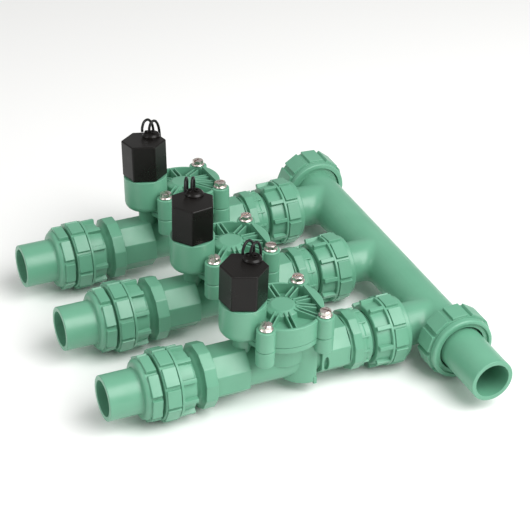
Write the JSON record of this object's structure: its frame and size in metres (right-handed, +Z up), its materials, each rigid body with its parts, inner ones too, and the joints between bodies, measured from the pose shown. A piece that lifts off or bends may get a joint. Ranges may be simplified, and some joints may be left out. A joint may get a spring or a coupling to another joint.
{
  "type": "irrigation solenoid valve manifold",
  "caption": "Inline solenoid diaphragm valves on one header pipe, joined by union nuts, each with a screwed bonnet, a turning solenoid with wire leads, and a plain pipe spigot.",
  "frame": {"origin": "on the plane that the union nuts stand on, below the middle of the object's box measured without the wire leads", "axes": "+Y runs along the header, from its inlet spigot to its end cap; +X runs from the outlet spigots to the header, against the flow; +Z is up, along the solenoids"},
  "size_m": [0.291, 0.314, 0.1258],
  "materials": {
    "green_plastic": "moulded sea-green plastic with a semi-gloss skin",
    "black_plastic": "moulded near-black plastic, satin",
    "screw_steel": "plated steel",
    "spring_steel": "bright drawn spring wire",
    "black_rubber": "matt rubber",
    "plunger_iron": "ground magnetic stainless steel",
    "lead_jacket": "extruded black wire jacket"
  },
  "bodies": {
    "manifold": {"header_manifold": "green_plastic", "header_inlet_spigot": "green_plastic", "end_cap_seal": "black_rubber", "valve_1_outlet_spigot": "green_plastic", "valve_1_outlet_tailpiece": "green_plastic", "valve_1_body": "green_plastic", "valve_1_bonnet": "green_plastic", "valve_1_bonnet_screw_1": "screw_steel", "valve_1_bonnet_screw_2": "screw_steel", "valve_1_bonnet_screw_3": "screw_steel", "valve_1_bonnet_screw_4": "screw_steel", "valve_1_diaphragm": "black_rubber", "valve_1_diaphragm_spring": "spring_steel", "valve_1_inlet_tailpiece": "green_plastic", "valve_2_outlet_spigot": "green_plastic", "valve_2_outlet_tailpiece": "green_plastic", "valve_2_body": "green_plastic", "valve_2_bonnet": "green_plastic", "valve_2_bonnet_screw_1": "screw_steel", "valve_2_bonnet_screw_2": "screw_steel", "valve_2_bonnet_screw_3": "screw_steel", "valve_2_bonnet_screw_4": "screw_steel", "valve_2_diaphragm": "black_rubber", "valve_2_diaphragm_spring": "spring_steel", "valve_2_inlet_tailpiece": "green_plastic", "valve_3_outlet_spigot": "green_plastic", "valve_3_outlet_tailpiece": "green_plastic", "valve_3_body": "green_plastic", "valve_3_bonnet": "green_plastic", "valve_3_bonnet_screw_1": "screw_steel", "valve_3_bonnet_screw_2": "screw_steel", "valve_3_bonnet_screw_3": "screw_steel", "valve_3_bonnet_screw_4": "screw_steel", "valve_3_diaphragm": "black_rubber", "valve_3_diaphragm_spring": "spring_steel", "valve_3_inlet_tailpiece": "green_plastic"},
    "header_inlet_nut": {"header_inlet_nut": "green_plastic"},
    "header_end_cap": {"header_end_cap": "green_plastic"},
    "valve_1_outlet_nut": {"valve_1_outlet_nut": "green_plastic"},
    "valve_1_poppet": {"valve_1_poppet": "black_plastic"},
    "valve_1_solenoid_unit": {"valve_1_solenoid": "black_plastic", "valve_1_lead_a": "lead_jacket", "valve_1_lead_b": "lead_jacket"},
    "valve_1_plunger": {"valve_1_plunger": "plunger_iron"},
    "valve_1_inlet_nut": {"valve_1_inlet_nut": "green_plastic"},
    "valve_2_outlet_nut": {"valve_2_outlet_nut": "green_plastic"},
    "valve_2_poppet": {"valve_2_poppet": "black_plastic"},
    "valve_2_solenoid_unit": {"valve_2_solenoid": "black_plastic", "valve_2_lead_a": "lead_jacket", "valve_2_lead_b": "lead_jacket"},
    "valve_2_plunger": {"valve_2_plunger": "plunger_iron"},
    "valve_2_inlet_nut": {"valve_2_inlet_nut": "green_plastic"},
    "valve_3_outlet_nut": {"valve_3_outlet_nut": "green_plastic"},
    "valve_3_poppet": {"valve_3_poppet": "black_plastic"},
    "valve_3_solenoid_unit": {"valve_3_solenoid": "black_plastic", "valve_3_lead_a": "lead_jacket", "valve_3_lead_b": "lead_jacket"},
    "valve_3_plunger": {"valve_3_plunger": "plunger_iron"},
    "valve_3_inlet_nut": {"valve_3_inlet_nut": "green_plastic"}
  },
  "joints": [
    {"name": "header_inlet_nut_turn", "type": "hinge", "parent": "manifold", "child": "header_inlet_nut", "pos_m": [0.11859, -0.10355, 0.02691], "axis": [0, 1, 0], "continuous": true},
    {"name": "header_end_cap_turn", "type": "hinge", "parent": "manifold", "child": "header_end_cap", "pos_m": [0.11859, 0.14505, 0.02691], "axis": [0, 1, 0], "continuous": true},
    {"name": "valve_1_outlet_nut_turn", "type": "hinge", "parent": "manifold", "child": "valve_1_outlet_nut", "pos_m": [-0.09561, -0.06995, 0.02691], "axis": [1, 0, 0], "continuous": true},
    {"name": "valve_1_inlet_nut_turn", "type": "hinge", "parent": "manifold", "child": "valve_1_inlet_nut", "pos_m": [0.07379, -0.06995, 0.02691], "axis": [1, 0, 0], "continuous": true},
    {"name": "valve_1_solenoid_bleed_turn", "type": "hinge", "parent": "manifold", "child": "valve_1_solenoid_unit", "pos_m": [-0.03991, -0.07145, 0.08409], "axis": [0, -0.0262, 0.9997], "range_deg": [0, 90]},
    {"name": "valve_1_plunger_lift", "type": "slide", "parent": "valve_1_solenoid_unit", "child": "valve_1_plunger", "axis": [0, -0.0262, 0.9997], "range_m": [0, 0.003], "stiffness_N_per_m": 300, "springref_m": -0.003},
    {"name": "valve_1_poppet_lift", "type": "slide", "parent": "manifold", "child": "valve_1_poppet", "axis": [0, -0.0262, 0.9997], "range_m": [0, 0.006], "stiffness_N_per_m": 400, "springref_m": -0.008, "deforming": ["valve_1_diaphragm_spring"]},
    {"name": "valve_2_outlet_nut_turn", "type": "hinge", "parent": "manifold", "child": "valve_2_outlet_nut", "pos_m": [-0.09561, 0.02205, 0.02691], "axis": [1, 0, 0], "continuous": true},
    {"name": "valve_2_inlet_nut_turn", "type": "hinge", "parent": "manifold", "child": "valve_2_inlet_nut", "pos_m": [0.07379, 0.02205, 0.02691], "axis": [1, 0, 0], "continuous": true},
    {"name": "valve_2_solenoid_bleed_turn", "type": "hinge", "parent": "manifold", "child": "valve_2_solenoid_unit", "pos_m": [-0.03991, 0.02205, 0.08411], "axis": [0, 0, 1], "range_deg": [0, 90]},
    {"name": "valve_2_plunger_lift", "type": "slide", "parent": "valve_2_solenoid_unit", "child": "valve_2_plunger", "axis": [0, 0, 1], "range_m": [0, 0.003], "stiffness_N_per_m": 300, "springref_m": -0.003},
    {"name": "valve_2_poppet_lift", "type": "slide", "parent": "manifold", "child": "valve_2_poppet", "axis": [0, 0, 1], "range_m": [0, 0.006], "stiffness_N_per_m": 400, "springref_m": -0.008, "deforming": ["valve_2_diaphragm_spring"]},
    {"name": "valve_3_outlet_nut_turn", "type": "hinge", "parent": "manifold", "child": "valve_3_outlet_nut", "pos_m": [-0.09561, 0.11405, 0.02691], "axis": [1, 0, 0], "continuous": true},
    {"name": "valve_3_inlet_nut_turn", "type": "hinge", "parent": "manifold", "child": "valve_3_inlet_nut", "pos_m": [0.07379, 0.11405, 0.02691], "axis": [1, 0, 0], "continuous": true},
    {"name": "valve_3_solenoid_bleed_turn", "type": "hinge", "parent": "manifold", "child": "valve_3_solenoid_unit", "pos_m": [-0.03991, 0.11933, 0.08386], "axis": [0, 0.0924, 0.9957], "range_deg": [0, 90]},
    {"name": "valve_3_plunger_lift", "type": "slide", "parent": "valve_3_solenoid_unit", "child": "valve_3_plunger", "axis": [0, 0.0924, 0.9957], "range_m": [0, 0.003], "stiffness_N_per_m": 300, "springref_m": -0.003},
    {"name": "valve_3_poppet_lift", "type": "slide", "parent": "manifold", "child": "valve_3_poppet", "axis": [0, 0.0924, 0.9957], "range_m": [0, 0.006], "stiffness_N_per_m": 400, "springref_m": -0.008, "deforming": ["valve_3_diaphragm_spring"]}
  ]
}
